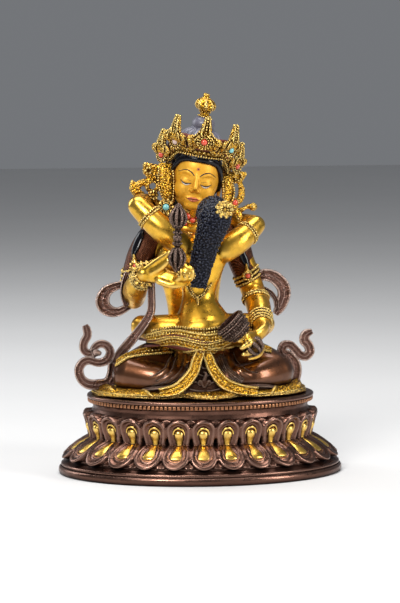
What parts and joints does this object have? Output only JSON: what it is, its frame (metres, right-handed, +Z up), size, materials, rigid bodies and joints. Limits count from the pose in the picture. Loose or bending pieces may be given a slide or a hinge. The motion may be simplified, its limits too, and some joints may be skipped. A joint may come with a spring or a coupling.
{
  "type": "yab-yum statue",
  "caption": "Seated crowned deity embracing a consort on an oval double lotus base, in partly gilt copper with painted face and set stones.",
  "frame": {"origin": "centre of the flat underside of the lotus base", "axes": "+Z up, -Y the side the deity faces, +X towards the deity's left hand"},
  "size_m": [0.172, 0.13, 0.228],
  "materials": {
    "brown_copper": "chestnut brown patinated copper, glossy on the high places",
    "gilding": "fire gilding, bright on smooth limbs and granular on jewellery",
    "coral": "polished coral",
    "turquoise": "polished turquoise"
  },
  "bodies": {
    "root": {"lotus_base": "brown_copper", "deity": "gilding", "consort": "gilding", "crown": "gilding", "vajra": "brown_copper", "bell": "brown_copper", "crown_stone_far_right": "coral", "crown_stone_right": "coral", "crown_stone_front": "coral", "crown_stone_left": "turquoise", "crown_stone_far_left": "coral", "armlet_stone_right": "coral", "armlet_stone_left": "coral"}
  },
  "joints": []
}
